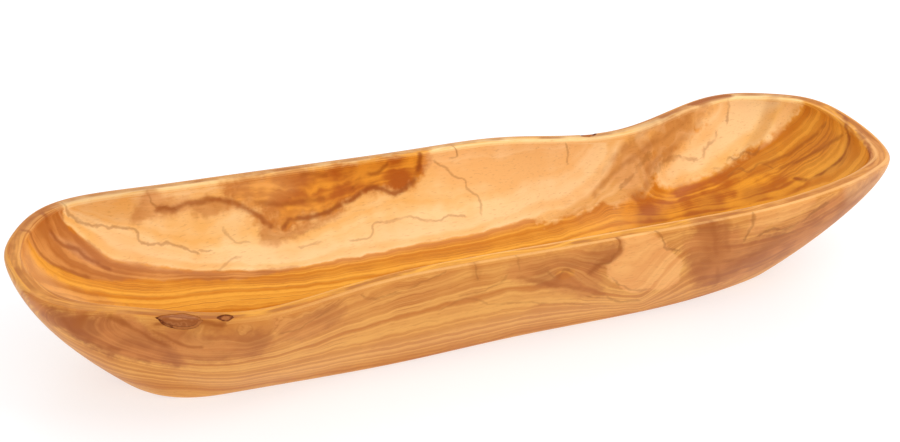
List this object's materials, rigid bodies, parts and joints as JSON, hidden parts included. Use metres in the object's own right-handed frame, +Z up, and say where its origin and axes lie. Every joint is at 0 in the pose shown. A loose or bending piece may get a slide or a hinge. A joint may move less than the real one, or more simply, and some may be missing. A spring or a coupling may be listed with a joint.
{
  "type": "bread bowl",
  "caption": "Long hand-carved wooden bread bowl with a waisted natural outline, flared walls, a level rim, a deep rounded hollow and a flat foot.",
  "frame": {"origin": "middle of the bowl's box, level with the underside of the foot", "axes": "+X along the length towards the head with the pointed corner, +Y towards the back, where the waist is, +Z up"},
  "size_m": [0.4, 0.1404, 0.05],
  "materials": {
    "oiled_olive_wood": "oiled satin",
    "knot_wood": "oiled satin",
    "bark": "rough matte"
  },
  "bodies": {
    "root": {"carved_bowl": "oiled_olive_wood", "rim_knot": "knot_wood", "knot_bark": "bark", "pit_bark": "bark", "waist_bark": "bark"}
  },
  "joints": []
}
